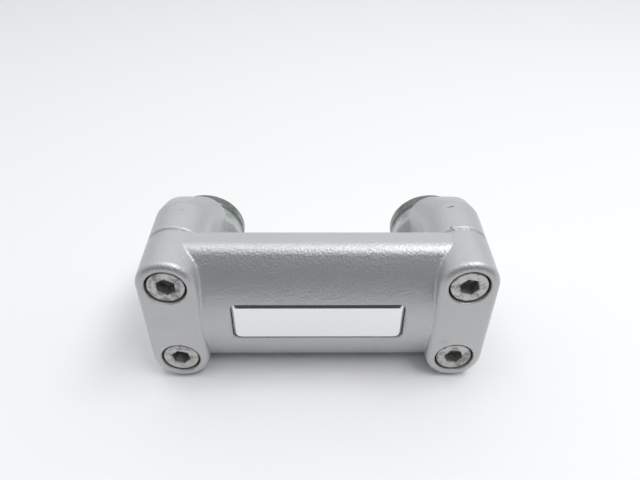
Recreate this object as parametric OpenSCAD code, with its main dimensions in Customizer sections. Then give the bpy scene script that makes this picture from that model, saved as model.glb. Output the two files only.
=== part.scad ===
// Handlebar clamp: a one-piece upper bridge held on two risers by four socket screws.
// The bar axis is the X axis. The parting plane of bridge and risers is y = 0, the faces of the
// bridge look towards -Y, the riser bases stand at +Y, and +Z is up as the clamp lies on its side.

/* [Handlebar] */
// Diameter of the handlebar at the clamps
bar_d = 22.2; // [20:0.1:24]
// Distance between the two clamps along the bar, centre to centre
clamp_spacing = 102; // [90:1:130]

/* [End plates and riser blocks] */
// Distance between the two screws of one clamp, across the bar
screw_spacing = 35.5; // [34:0.5:40]
// Radius of the rounded ends at the bridge's front face
plate_r = 10.3; // [9.5:0.1:12]
// Growth of that radius from the front face to the parting plane
plate_draft = 0.4; // [0:0.1:1.5]
// Depth of the bridge from its front face to the parting plane
bridge_depth = 19.3; // [17:0.1:24]
// Rounding of the edges of the front faces
face_edge_r = 2.2; // [0.5:0.1:2.6]
// Chamfer along the bridge's edge at the parting plane
bridge_chamfer = 0.8; // [0.2:0.1:1.2]
// Chamfer along the riser's edge at the parting plane
riser_chamfer = 1.1; // [0.4:0.1:1.6]

/* [Arched bridge] */
// Radius of the arched front between the end plates
arch_r = 43.5; // [38:0.5:60]
// How far the crown of the arch lies behind the front faces
arch_setback = 0.9; // [0.4:0.1:3]
// Radius of the rounded upper and lower edges of the arch
arch_edge_r = 6; // [3:0.5:8]
// Half of the height of the arched part
arch_half_h = 27.3; // [25:0.1:30]
// Radius of the fillet between arch and end plates
arch_fillet_r = 1.2; // [0.6:0.1:2]
// Wall left round the hollow underside of the arch
arch_wall = 4.2; // [3:0.1:6]
// Solid length left between each end plate and the hollow
hollow_end = 4; // [2:0.5:8]

/* [Badge] */
// Length of the badge recess along the bar
recess_len = 61.5; // [40:0.5:66]
// Height of the badge recess
recess_h = 16.5; // [10:0.5:20]
// Corner radius of the badge recess
recess_r = 2.2; // [1:0.1:4]
// Depth of the recess below the crown of the arch
recess_depth = 2.2; // [1.6:0.1:3]
// Gap between the badge and the recess wall all round
badge_gap = 0.3; // [0.1:0.05:0.6]
// Thickness of the badge plate
badge_t = 0.7; // [0.4:0.1:1]
// Thickness of the adhesive pad under the badge
pad_t = 0.3; // [0.2:0.1:0.6]
// How far the pad stays inside the badge's edge
pad_inset = 1; // [0.5:0.5:3]

/* [Clamp screws] */
// Diameter of the screw shank
screw_d = 8; // [6:0.5:8]
// Length of the shank under the head
screw_len = 30; // [25:1:35]
// Diameter of the socket head
head_d = 13; // [10:0.5:13]
// Height of the socket head
head_h = 8; // [6:0.5:8]
// Width across flats of the hex socket
hex_af = 6; // [5:0.5:6]
// Depth of the hex socket
hex_depth = 4.5; // [3:0.5:5]
// Radial gap round the head in its counterbore
head_gap = 0.65; // [0.3:0.05:0.9]
// How far the heads lie below the front face
head_sink = 0.6; // [0:0.1:2]
// Radial gap of the shank in the bridge
shank_gap = 0.35; // [0.2:0.05:0.5]
// Radial play of the screw in its threaded hole
thread_play = 0.06; // [0.05:0.01:0.1]
// Depth of the threaded holes beyond the screw's tip
thread_spare = 3; // [1:0.5:6]

/* [Risers] */
// Length of the riser's straight block from the parting plane
block_len = 16.3; // [14:0.1:24]
// Growth of the block's end radius over that length
block_draft = 0.3; // [0:0.1:1]
// Length of the sloping shoulder behind the block
shoulder_len = 12.4; // [8:0.1:18]
// Half height of the shoulder at its far end
shoulder_half_h = 22.8; // [20:0.1:25]
// Half width of the shoulder at its far end
shoulder_half_w = 12.6; // [11:0.1:14]
// Corner radius of the shoulder at its far end
shoulder_r = 9; // [6:0.5:11]
// How far the far end of the shoulder is moved towards the other riser
shoulder_shift = 1.2; // [0:0.1:3]
// How far the round base is moved towards the other riser
base_shift = 3.5; // [0:0.1:6]
// Radius of the round base
base_r = 15.6; // [14:0.1:20]
// Thickness of the round base's flange
base_t = 2; // [1.5:0.1:6]
// Rounding of the flange's front edge
base_edge_r = 0.8; // [0.4:0.2:1.2]
// Radius at which the flare of the base starts inside the block
flare_r = 7; // [6:0.1:8]
// Distance behind the block's straight part at which the flare starts
flare_start = 2; // [1:0.1:4]
// Diameter of the thread for the stud that holds the riser down
stud_d = 10; // [8:1:12]
// Depth of the stud's threaded hole
stud_depth = 24; // [16:1:26]

/* [Base rings] */
// Outer radius of the plated ring
ring_r = 15.7; // [14:0.1:20]
// Thickness of the plated ring
ring_t = 10; // [6:0.1:12]
// How much smaller the ring's neck is than its outer radius
neck_step = 0.9; // [0.4:0.1:2]
// Length of the ring's neck
neck_len = 4.8; // [2:0.1:7]
// Radius of the spigot that carries the ring
spigot_r = 9.5; // [8:0.5:12]
// Radial gap between ring and spigot
ring_play = 0.05; // [0.02:0.01:0.1]

/* [Hidden] */
$fn = 96;

bar_r = bar_d / 2;
parting_r = plate_r + plate_draft;
block_r = parting_r + block_draft;
front_y = -bridge_depth;
crown_y = front_y + arch_setback;
floor_y = crown_y + recess_depth;
shoulder_y = block_len + shoulder_len;
base_y = shoulder_y + base_t;
ring_end_y = base_y + ring_t;
head_top_y = front_y + head_sink;
seat_y = head_top_y + head_h;
tip_y = seat_y + screw_len;
// Overlap that joins one shape to the next, and the reach of a cut past a face
join = 0.5;
past = 1;
edge_steps = 5;

// Each screw's own turn of its hex socket, as the screws were left
turn_upper_left = 0;
turn_upper_right = 17;
turn_lower_left = 12;
turn_lower_right = 24;

// Points of a round corner about c, from angle a0 to a1
function corner(c, r, a0, a1, n = edge_steps) =
    [for (i = [0 : n]) let (a = a0 + (a1 - a0) * i / n) c + r * [cos(a), sin(a)]];

// Half section of an obround block: radius against depth, with an edge of its own at each end
function plate_side() = concat(
    [[0, front_y]],
    corner([plate_r - face_edge_r, front_y + face_edge_r], face_edge_r, -90, 0),
    [[parting_r, -bridge_chamfer], [parting_r - bridge_chamfer, 0], [0, 0]]);
function block_side() = [
    [0, 0], [parting_r - riser_chamfer, 0], [parting_r, riser_chamfer],
    [block_r, block_len], [block_r - join, block_len + join], [0, block_len + join]];

// An obround block that stands on the bar axis: two turned ends and the straight part between
module obround(side) {
    for (s = [-1, 1])
        translate([0, 0, s * screw_spacing / 2]) rotate([-90, 0, 0])
            rotate_extrude() polygon(side);
    linear_extrude(height = screw_spacing, center = true)
        union() { polygon(side); mirror([1, 0]) polygon(side); }
}

// Upper half of the arch's section as [y, z], set in from the outside by inset: the front arc,
// the round edge and the flat top. The whole section ends in a chamfer at its back
arch_c_y = crown_y + arch_r;
edge_c_z = arch_half_h - arch_edge_r;
edge_c_y = arch_c_y - sqrt(pow(arch_r - arch_edge_r, 2) - pow(edge_c_z, 2));
edge_a = asin(edge_c_z / (arch_r - arch_edge_r));
arc_steps = 14;
function arch_upper(inset) = concat(
    [for (i = [0 : arc_steps]) let (a = edge_a * i / arc_steps)
        [arch_c_y - (arch_r - inset) * cos(a), (arch_r - inset) * sin(a)]],
    [for (i = [1 : edge_steps]) let (a = edge_a + (90 - edge_a) * i / edge_steps)
        [edge_c_y - (arch_edge_r - inset) * cos(a), edge_c_z + (arch_edge_r - inset) * sin(a)]]);
function arch_section(inset, back) =
    let (up = arch_upper(inset), n = len(up), top = up[n - 1][1], c = bridge_chamfer)
    concat([[back, c - top], [back - c, -top]],
           [for (i = [n - 1 : -1 : 1]) [up[i][0], -up[i][1]]],
           up,
           [[back - c, top], [back, top - c]]);
module arch_bar(half_len, inset, back) {
    rotate([90, 0, 90]) linear_extrude(height = 2 * half_len, center = true)
        polygon(arch_section(inset, back));
}

// The quarter-round fillet where the front arc meets an end plate, turned about the arc's axis
// and sunk a little into both, so that its edges cross them instead of touching them
wall_x = clamp_spacing / 2 - plate_r;
fillet_sink = 0.08;
module arch_fillet() {
    profile = concat(
        corner([arch_r + arch_fillet_r, wall_x - arch_fillet_r], arch_fillet_r + fillet_sink, 180, 90),
        [[arch_r + arch_fillet_r, wall_x + join], [arch_r - join, wall_x + join],
         [arch_r - join, wall_x - arch_fillet_r]]);
    front = front_y + face_edge_r;
    reach = screw_spacing / 2 + arch_fillet_r;
    intersection() {
        translate([0, arch_c_y, 0]) rotate([0, 90, 0]) rotate_extrude($fn = 180) polygon(profile);
        translate([0, front, -reach]) cube([clamp_spacing, -front, 2 * reach]);
    }
}

// The arched bar between the plates, open underneath towards the risers
module arch() {
    arch_bar(clamp_spacing / 2, 0, 0);
    arch_fillet();
    mirror([1, 0, 0]) arch_fillet();
}
module arch_hollow() {
    arch_bar(wall_x - hollow_end, arch_wall, past);
}

module rounded_slab(w, h, r, t) {
    rotate([90, 0, 0]) linear_extrude(height = t) {
        square([w - 2 * r, h], center = true);
        square([w, h - 2 * r], center = true);
        for (x = [-1, 1], z = [-1, 1]) translate([x * (w / 2 - r), z * (h / 2 - r)]) circle(r);
    }
}

// One copy at each screw of both clamps
module at_screws() {
    for (x = [-1, 1], z = [-1, 1])
        translate([x * clamp_spacing / 2, 0, z * screw_spacing / 2]) children();
}
module along_y(r, y0, y1) {
    translate([0, y0, 0]) rotate([-90, 0, 0]) cylinder(r = r, h = y1 - y0);
}
module bar_bore(x, len) {
    translate([x - len / 2, 0, 0]) rotate([0, 90, 0]) cylinder(r = bar_r, h = len);
}

module upper_clamp() {
    bore_len = clamp_spacing + 2 * parting_r + 2 * past;
    color("silver") difference() {
        union() {
            for (x = [-1, 1]) translate([x * clamp_spacing / 2, 0, 0]) obround(plate_side());
            arch();
        }
        bar_bore(0, bore_len);
        arch_hollow();
        translate([0, floor_y, 0]) rounded_slab(recess_len, recess_h, recess_r, recess_depth + past);
        at_screws() {
            along_y(head_d / 2 + head_gap, front_y - past, seat_y);
            along_y(screw_d / 2 + shank_gap, front_y, past);
        }
    }
}

module badge_plate() {
    color("gainsboro") translate([0, floor_y - pad_t, 0])
        rounded_slab(recess_len - 2 * badge_gap, recess_h - 2 * badge_gap, recess_r - badge_gap, badge_t);
}

module badge_pad() {
    edge = badge_gap + pad_inset;
    color("dimgray") translate([0, floor_y, 0])
        rounded_slab(recess_len - 2 * edge, recess_h - 2 * edge, recess_r - badge_gap, pad_t);
}

// A socket head screw along +Y, its head's top at head_top_y and its socket turned by turn
head_edge = 0.5;
tip_chamfer = 1;
module clamp_screw(turn) {
    r = head_d / 2;
    s = screw_d / 2;
    color("lightgray") rotate([-90, 0, 0]) difference() {
        rotate_extrude() polygon(concat(
            [[0, head_top_y]],
            corner([r - head_edge, head_top_y + head_edge], head_edge, -90, 0),
            [[r, seat_y], [s, seat_y], [s, tip_y - tip_chamfer], [s - tip_chamfer, tip_y], [0, tip_y]]));
        translate([0, 0, head_top_y - past]) rotate([0, 0, turn])
            cylinder(r = hex_af / 2 / cos(30), h = hex_depth + past, $fn = 6);
    }
}
module screw_at(x, z, turn) {
    translate([x * clamp_spacing / 2, 0, z * screw_spacing / 2]) clamp_screw(turn);
}
module clamp_screw_upper_left() { screw_at(-1, 1, turn_upper_left); }
module clamp_screw_upper_right() { screw_at(1, 1, turn_upper_right); }
module clamp_screw_lower_left() { screw_at(-1, -1, turn_lower_left); }
module clamp_screw_lower_right() { screw_at(1, -1, turn_lower_right); }

// The shoulder runs from the obround block to a rounded oblong in front of the base. The riser
// is drawn as the left one, so that +X is the way towards the other riser
slab = 0.2;
module shoulder() {
    hull() {
        for (s = [-1, 1]) translate([0, 0, s * screw_spacing / 2])
            along_y(block_r, block_len - slab, block_len, $fn = 48);
        for (x = [-1, 1], z = [-1, 1])
            translate([shoulder_shift + x * (shoulder_half_w - shoulder_r), 0,
                       z * (shoulder_half_h - shoulder_r)])
                along_y(shoulder_r, shoulder_y - slab, shoulder_y, $fn = 48);
    }
}

// The flared base with its flange and spigot, turned about the stud's axis
flare_y = block_len + flare_start;
flare_a = atan2(base_r - base_edge_r - flare_r, shoulder_y - flare_y);
module riser_base() {
    translate([base_shift, 0, 0]) rotate([-90, 0, 0]) rotate_extrude() polygon(concat(
        [[0, flare_y], [flare_r, flare_y]],
        corner([base_r - base_edge_r, shoulder_y + base_edge_r], base_edge_r, flare_a - 90, 0),
        [[base_r, base_y], [spigot_r, base_y], [spigot_r, ring_end_y - join], [0, ring_end_y - join]]));
}

module riser() {
    color("silver") difference() {
        union() {
            obround(block_side());
            shoulder();
            riser_base();
        }
        bar_bore(0, 2 * block_r + 2 * shoulder_half_w);
        for (z = [-1, 1]) translate([0, 0, z * screw_spacing / 2])
            along_y(screw_d / 2 + thread_play, -past, tip_y + thread_spare);
        translate([base_shift, 0, 0]) along_y(stud_d / 2, ring_end_y - stud_depth, ring_end_y + past);
    }
}
module riser_left() { translate([-clamp_spacing / 2, 0, 0]) riser(); }
module riser_right() { mirror([1, 0, 0]) riser_left(); }

// A plated ring on the spigot, with a slimmer neck next to the riser's flange
ring_edge = 0.6;
module base_ring() {
    neck_r = ring_r - neck_step;
    neck_end = base_y + neck_len;
    color("darkseagreen") rotate([-90, 0, 0]) rotate_extrude() polygon([
        [spigot_r + ring_play, base_y], [neck_r, base_y], [neck_r, neck_end],
        [ring_r, neck_end + neck_step], [ring_r, ring_end_y - ring_edge],
        [ring_r - ring_edge, ring_end_y], [spigot_r + ring_play, ring_end_y]]);
}
module base_ring_left() { translate([base_shift - clamp_spacing / 2, 0, 0]) base_ring(); }
module base_ring_right() { mirror([1, 0, 0]) base_ring_left(); }

upper_clamp();
badge_plate();
badge_pad();
clamp_screw_upper_left();
clamp_screw_upper_right();
clamp_screw_lower_left();
clamp_screw_lower_right();
riser_left();
riser_right();
base_ring_left();
base_ring_right();
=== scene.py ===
"""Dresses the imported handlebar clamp: cast bridge, badge, socket screws, risers and base rings.

Sizes are in millimetres in the frame of the part: the bar runs along X, the parting plane of bridge
and risers is y = 0, the faces of the bridge look towards -Y and Z points up. Meshes are made in
metres.
"""

import logging
import math
from dataclasses import dataclass, field
from enum import Enum

import bmesh
import bpy
import numpy as np
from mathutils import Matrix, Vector

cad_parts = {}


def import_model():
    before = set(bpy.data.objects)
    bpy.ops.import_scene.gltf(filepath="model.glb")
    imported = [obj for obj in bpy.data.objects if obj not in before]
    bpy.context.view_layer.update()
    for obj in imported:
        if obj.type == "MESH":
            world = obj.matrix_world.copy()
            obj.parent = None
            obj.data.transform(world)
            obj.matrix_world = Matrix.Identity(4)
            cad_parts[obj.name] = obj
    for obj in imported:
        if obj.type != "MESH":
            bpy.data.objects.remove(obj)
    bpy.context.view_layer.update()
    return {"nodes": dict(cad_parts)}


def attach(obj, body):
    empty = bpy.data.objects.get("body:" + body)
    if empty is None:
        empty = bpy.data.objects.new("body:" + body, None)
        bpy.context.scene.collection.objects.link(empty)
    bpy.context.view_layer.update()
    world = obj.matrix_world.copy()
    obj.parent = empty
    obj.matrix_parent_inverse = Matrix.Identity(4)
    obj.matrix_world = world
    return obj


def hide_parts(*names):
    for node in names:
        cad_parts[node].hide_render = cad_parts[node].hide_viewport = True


log = logging.getLogger("handlebar_clamp")

MM = 0.001  # metres in a millimetre
WELD_MM = 0.002  # points that lie nearer to each other are one
PAST = 1.0  # how far a cutter reaches past the face that it opens
CHORDS = 96  # chords in a full turn of the bore and of the rings
BODY = "root"


class Outline(Enum):
    """The plan of a ring: how many round corners it has and where the first one points."""

    ROUND = (4, 45.0)
    HEXAGON = (6, 30.0)


class Side(Enum):
    """One side of the clamp, with the sign of its x."""

    LEFT = -1
    RIGHT = 1


@dataclass(frozen=True)
class Ring:
    """One ring of a turned or lofted shape, across the depth axis.

    Attributes:
        y: Depth of the ring.
        r: Radius of its corners.
        a: Half distance of the corner centres along x, or in a hexagon their distance from its
            middle.
        b: Half distance of the corner centres along z.
        shift: How far its middle is moved along x.
    """

    y: float
    r: float
    a: float = 0.0
    b: float = 0.0
    shift: float = 0.0


def rounded(knots: np.ndarray, reach: np.ndarray, steps: int = 6) -> np.ndarray:
    """Rounds the corners of a row of knots.

    Each inner knot K gives way to a conic arc between the points P and Q at the corner's reach
    before and behind it: ((1-t)^2 P + 2t(1-t) w K + t^2 Q) / ((1-t)^2 + 2t(1-t) w + t^2), where
    w is the sine of half the corner's angle. That is an exact circle, tangent to both sides.

    Args:
        knots: Points of the row, one per line; the first two columns are the drawing plane.
        reach: Tangent length at each knot, 0 for a sharp one.
        steps: Number of chords per arc.

    Returns:
        The points of the rounded row.
    """
    before = knots[:-2] - knots[1:-1]
    after = knots[2:] - knots[1:-1]
    len_before = np.maximum(np.linalg.norm(before[:, :2], axis=1), 1e-9)
    len_after = np.maximum(np.linalg.norm(after[:, :2], axis=1), 1e-9)
    cut = np.minimum(reach[1:-1], 0.49 * np.minimum(len_before, len_after))
    start = knots[1:-1] + before * (cut / len_before)[:, None]
    end = knots[1:-1] + after * (cut / len_after)[:, None]
    cosine = (before[:, :2] * after[:, :2]).sum(1) / (len_before * len_after)
    weight = np.sqrt(np.clip((1 - cosine) / 2, 0, 1))[:, None, None]
    t = np.linspace(0, 1, steps + 1)[None, :, None]
    bent = (
        (1 - t) ** 2 * start[:, None]
        + 2 * t * (1 - t) * weight * knots[1:-1, None]
        + t**2 * end[:, None]
    ) / ((1 - t) ** 2 + 2 * t * (1 - t) * weight + t**2)
    return np.vstack([knots[:1], bent.reshape(-1, knots.shape[1]), knots[-1:]])


def ring_rows(rings: list[tuple[Ring, float]], steps: int = 6) -> np.ndarray:
    """Turns a list of rings and their corner reaches into rounded rows of y, r, a, b, shift."""
    knots = np.array([[k.y, k.r, k.a, k.b, k.shift] for k, _ in rings])
    return rounded(knots, np.array([reach for _, reach in rings]), steps)


def around(outline: Outline, arc: int) -> tuple[np.ndarray, np.ndarray]:
    """Angles round an outline and the direction of the corner that each belongs to.

    Args:
        outline: The plan of the ring.
        arc: Number of chords in one corner.

    Returns:
        Angles of the surface normal, and the angles of the corner centres, both in radians.
    """
    corners, first = outline.value
    centre = np.radians(first + 360.0 / corners * np.arange(corners))
    sweep = np.radians(np.linspace(-180.0 / corners, 180.0 / corners, arc + 1))
    return (centre[:, None] + sweep).ravel(), np.repeat(centre, arc + 1)


def lofted(rows: np.ndarray, outline: Outline = Outline.ROUND, arc: int = 16) -> np.ndarray:
    """A surface through a stack of rings, as a grid of depth against angle.

    At angle f the point of a ring is its corner centre plus r (cos f, sin f). Rings that follow
    each other share their normals at each f, so the surface between two of them is their hull.

    Args:
        rows: One line of y, r, a, b and shift for each ring.
        outline: The plan of the rings.
        arc: Number of chords in one corner.

    Returns:
        Points in an array of rings by angles by 3.
    """
    angle, centre = around(outline, arc)
    y, r, a, b, shift = (rows[:, i, None] for i in range(5))
    if outline is Outline.HEXAGON:
        ux, uz, b = np.cos(centre), np.sin(centre), a
    else:
        ux, uz = np.sign(np.cos(centre)), np.sign(np.sin(centre))
    x = shift + a * ux + r * np.cos(angle)
    z = b * uz + r * np.sin(angle)
    return np.stack([x, np.broadcast_to(y, x.shape), z], axis=-1)


def carried(section: np.ndarray, reach: float) -> np.ndarray:
    """A closed section of y and z carried along the bar from -reach to reach, as a grid."""
    ends = np.array([[-reach], [reach]])
    return np.stack(np.broadcast_arrays(ends, section[:, 0], section[:, 1]), axis=-1)


def bar_bore(radius: float, reach: float) -> np.ndarray:
    """The bore of the bar from -reach to reach: its section is radius times (cos f, sin f)."""
    f = np.linspace(0, 2 * math.pi, CHORDS + 1)[:-1]
    return carried(radius * np.stack([np.cos(f), np.sin(f)], axis=1), reach)


def turned_about_y(r: np.ndarray, y: np.ndarray, angle: np.ndarray) -> np.ndarray:
    """Points at radius r, depth y and an angle f about the depth axis: (r cos f, y, r sin f)."""
    return np.stack(np.broadcast_arrays(r * np.cos(angle), y, r * np.sin(angle)), axis=-1)


def moved(grid: np.ndarray, x: float = 0.0, z: float = 0.0, side: int = 1) -> np.ndarray:
    """The grid with its x times side, then moved along x and z."""
    return grid * np.array([side, 1, 1]) + np.array([x, 0, z])


def cleaned(mesh: bpy.types.Mesh, weld_mm: float, outwards: bool = False) -> None:
    """Merges the doubles of a mesh and removes what has no length or area.

    Args:
        mesh: The mesh that is changed.
        weld_mm: Points nearer than this become one, and edges of half that length go.
        outwards: Whether its faces are also turned outwards.
    """
    edit = bmesh.new()
    edit.from_mesh(mesh)
    bmesh.ops.remove_doubles(edit, verts=edit.verts, dist=weld_mm * MM)
    bmesh.ops.dissolve_degenerate(edit, edges=edit.edges, dist=weld_mm / 2 * MM)
    if outwards:
        bmesh.ops.recalc_face_normals(edit, faces=edit.faces)
    edit.to_mesh(mesh)
    edit.free()


def solid(name: str, grid: np.ndarray, capped: bool = True) -> bpy.types.Object:
    """A closed mesh object from a grid of points whose rows are closed loops.

    Row i and row i + 1 are joined by quads, and the first and the last row are capped.

    Args:
        name: Name of the object.
        grid: Array of rows by columns by 3, in millimetres.
        capped: False where the last row is the first one again, so that it needs no caps.

    Returns:
        The object, with its doubles merged and its faces turned outwards.
    """
    rows, cols = grid.shape[:2]
    index = np.arange(rows * cols).reshape(rows, cols)
    turned = np.roll(index, -1, axis=1)
    quads = np.stack([index[:-1], turned[:-1], turned[1:], index[1:]], axis=-1)
    faces = quads.reshape(-1, 4).tolist()
    if capped:
        faces += [index[0][::-1].tolist(), index[-1].tolist()]
    mesh = bpy.data.meshes.new(name)
    mesh.from_pydata((grid.reshape(-1, 3) * MM).tolist(), [], faces)
    cleaned(mesh, WELD_MM, outwards=True)
    piece = bpy.data.objects.new(name, mesh)
    bpy.context.scene.collection.objects.link(piece)
    return piece


def combined(
    body: bpy.types.Object,
    added: list[bpy.types.Object] | None = None,
    cut: list[bpy.types.Object] | None = None,
) -> bpy.types.Object:
    """Joins solids to a body and cuts others out of it, and applies the result.

    Args:
        body: The solid that is kept.
        added: Solids joined to it.
        cut: Solids cut out of it afterwards.

    Returns:
        The body.
    """
    work = [(tool, "UNION") for tool in added or []] + [(tool, "DIFFERENCE") for tool in cut or []]
    for tool, operation in work:
        step = body.modifiers.new(operation.lower(), "BOOLEAN")
        step.operation = operation
        step.solver = "EXACT"
        step.object = tool
    graph = bpy.context.evaluated_depsgraph_get()
    mesh = bpy.data.meshes.new_from_object(body.evaluated_get(graph))
    body.modifiers.clear()
    body.data = mesh
    for tool, _ in work:
        bpy.data.objects.remove(tool)
    return body


def smoothed(piece: bpy.types.Object, angle: float = 24.0) -> bpy.types.Object:
    """Shades a piece smooth, with flat faces kept flat by their area.

    Args:
        piece: The piece, whose doubles are merged first.
        angle: Edges that bend by more degrees than this stay sharp.

    Returns:
        The piece.
    """
    mesh = piece.data
    cleaned(mesh, 2 * WELD_MM)
    mesh.shade_smooth()
    mesh.set_sharp_from_angle(angle=math.radians(angle))
    weigh = piece.modifiers.new("flat_faces", "WEIGHTED_NORMAL")
    weigh.mode = "FACE_AREA"
    weigh.keep_sharp = True
    return piece


def scaled(colour: tuple[float, float, float], by: float) -> tuple[float, ...]:
    """A colour made darker or lighter by a factor."""
    return tuple(c * by for c in colour)


class Nodes:
    """A short way to write a node tree.

    Attributes:
        tree: The node tree.
    """

    def __init__(self, tree: bpy.types.NodeTree) -> None:
        """Takes a tree and clears it."""
        self.tree = tree
        self.tree.nodes.clear()

    def add(self, kind: str, **settings: object) -> bpy.types.Node:
        """Adds a node.

        Args:
            kind: Type of the node.
            settings: Properties that it is given.

        Returns:
            The node.
        """
        node = self.tree.nodes.new(kind)
        for key, value in settings.items():
            setattr(node, key, value)
        return node

    def join(self, source: object, target: bpy.types.NodeSocket) -> None:
        """Links a socket to an input, or sets the input to a plain value.

        Args:
            source: The socket or the value.
            target: The input.
        """
        if isinstance(source, bpy.types.NodeSocket):
            self.tree.links.new(source, target)
        else:
            target.default_value = source

    def ramp(
        self, source: object, low: float, high: float, to_low: float = 0.0, to_high: float = 1.0
    ) -> bpy.types.NodeSocket:
        """Maps a span of values smoothly onto another one.

        Args:
            source: Socket or number that is mapped.
            low: Start of its span.
            high: End of its span.
            to_low: What low becomes.
            to_high: What high becomes.

        Returns:
            The mapped value.
        """
        node = self.add("ShaderNodeMapRange", interpolation_type="SMOOTHSTEP")
        for socket, value in zip(node.inputs, (source, low, high, to_low, to_high)):
            self.join(value, socket)
        return node.outputs[0]

    def math(self, operation: str, first: object, second: object = 0.0) -> bpy.types.NodeSocket:
        """One step of arithmetic.

        Args:
            operation: Name of the operation.
            first: Socket or number.
            second: Socket or number.

        Returns:
            The result.
        """
        node = self.add("ShaderNodeMath", operation=operation)
        self.join(first, node.inputs[0])
        self.join(second, node.inputs[1])
        return node.outputs[0]

    def blend(self, share: object, first: object, second: object) -> bpy.types.NodeSocket:
        """A mix of two colours.

        Args:
            share: Share of the second colour, a socket or a number.
            first: Socket or three numbers.
            second: Socket or three numbers.

        Returns:
            The mixed colour.
        """
        node = self.add("ShaderNodeMix", data_type="RGBA")
        self.join(share, node.inputs["Factor"])
        for value, socket in ((first, node.inputs[6]), (second, node.inputs[7])):
            self.join(value if isinstance(value, bpy.types.NodeSocket) else (*value, 1), socket)
        return node.outputs[2]


class SurfaceNodes(Nodes):
    """The nodes of a material with a Principled shader.

    Attributes:
        material: The material.
        shader: Its shader.
        place: Object coordinates in metres, which every pattern here reads.
    """

    def __init__(self, name: str) -> None:
        """Makes the material of that name."""
        self.material = bpy.data.materials.new(name)
        self.material.use_nodes = True
        super().__init__(self.material.node_tree)
        out = self.add("ShaderNodeOutputMaterial")
        self.shader = self.add("ShaderNodeBsdfPrincipled")
        self.join(self.shader.outputs[0], out.inputs["Surface"])
        self.place = self.add("ShaderNodeTexCoord").outputs["Object"]

    def noise(
        self, per_mm: float, detail: float = 3.0, rough: float = 0.5, stretch: tuple = (1, 1, 1)
    ) -> bpy.types.NodeSocket:
        """Noise on the coordinates of the object.

        Args:
            per_mm: Number of its cells in a millimetre.
            detail: Number of finer layers.
            rough: Strength of each finer layer.
            stretch: Factor on the number of cells along each axis.

        Returns:
            The noise, from 0 to 1.
        """
        turn = self.add("ShaderNodeMapping")
        self.join(self.place, turn.inputs["Vector"])
        turn.inputs["Scale"].default_value = stretch
        node = self.add("ShaderNodeTexNoise")
        self.join(turn.outputs[0], node.inputs["Vector"])
        node.inputs["Scale"].default_value = per_mm / MM
        node.inputs["Detail"].default_value = detail
        node.inputs["Roughness"].default_value = rough
        return node.outputs["Fac"]

    def bump(
        self, height: bpy.types.NodeSocket, depth_mm: float, below: object = None
    ) -> bpy.types.NodeSocket:
        """A bump.

        Args:
            height: Height of the surface, from 0 to 1.
            depth_mm: What a height of 1 is in millimetres.
            below: The bump that this one is laid over.

        Returns:
            The normal of the surface.
        """
        node = self.add("ShaderNodeBump")
        node.inputs["Strength"].default_value = 1.0
        node.inputs["Distance"].default_value = depth_mm * MM
        self.join(height, node.inputs["Height"])
        if below is not None:
            self.join(below, node.inputs["Normal"])
        return node.outputs[0]

    def spot(
        self, centre: tuple, radii: tuple, soft: float = 0.35, ragged: float = 0.0
    ) -> bpy.types.NodeSocket:
        """A mark on the surface: 1 inside an ellipsoid and 0 outside.

        Args:
            centre: Middle of the ellipsoid in millimetres.
            radii: Its half axes in millimetres.
            soft: Share of the half axes over which it fades, on both sides of its edge.
            ragged: Share of the half axes by which noise moves its edge.

        Returns:
            The mark.
        """
        turn = self.add("ShaderNodeMapping", vector_type="TEXTURE")
        self.join(self.place, turn.inputs["Vector"])
        turn.inputs["Location"].default_value = tuple(c * MM for c in centre)
        turn.inputs["Scale"].default_value = tuple(r * MM for r in radii)
        far = self.add("ShaderNodeVectorMath", operation="LENGTH")
        self.join(turn.outputs[0], far.inputs[0])
        edge = far.outputs["Value"]
        if ragged:
            wave = self.ramp(self.noise(1.4, 2.0), 0.3, 0.7, -ragged, ragged)
            edge = self.math("ADD", edge, wave)
        return self.ramp(edge, 1 - soft, 1 + soft, 1.0, 0.0)


@dataclass(frozen=True)
class Mark:
    """A chip or scuff: its middle and half sizes in millimetres, and how much shows."""

    centre: tuple[float, float, float]
    radii: tuple[float, float, float]
    share: float = 1.0


BRIDGE_SCUFFS = (
    Mark((-54.0, -19.3, 1.5), (4.5, 2.0, 3.5), 0.10),
    Mark((46.0, -19.3, -9.0), (1.6, 2.0, 1.2), 0.25),
)
RISER_CHIPS = {
    Side.LEFT: (Mark((-49.65, 11.5, 28.5), (0.9, 0.45, 0.8), 0.3),),
    Side.RIGHT: (
        Mark((47.2, 1.3, 27.1), (0.75, 0.7, 0.8)),
        Mark((49.15, 13.3, 28.5), (1.3, 0.42, 1.0), 0.7),
    ),
}


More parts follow.
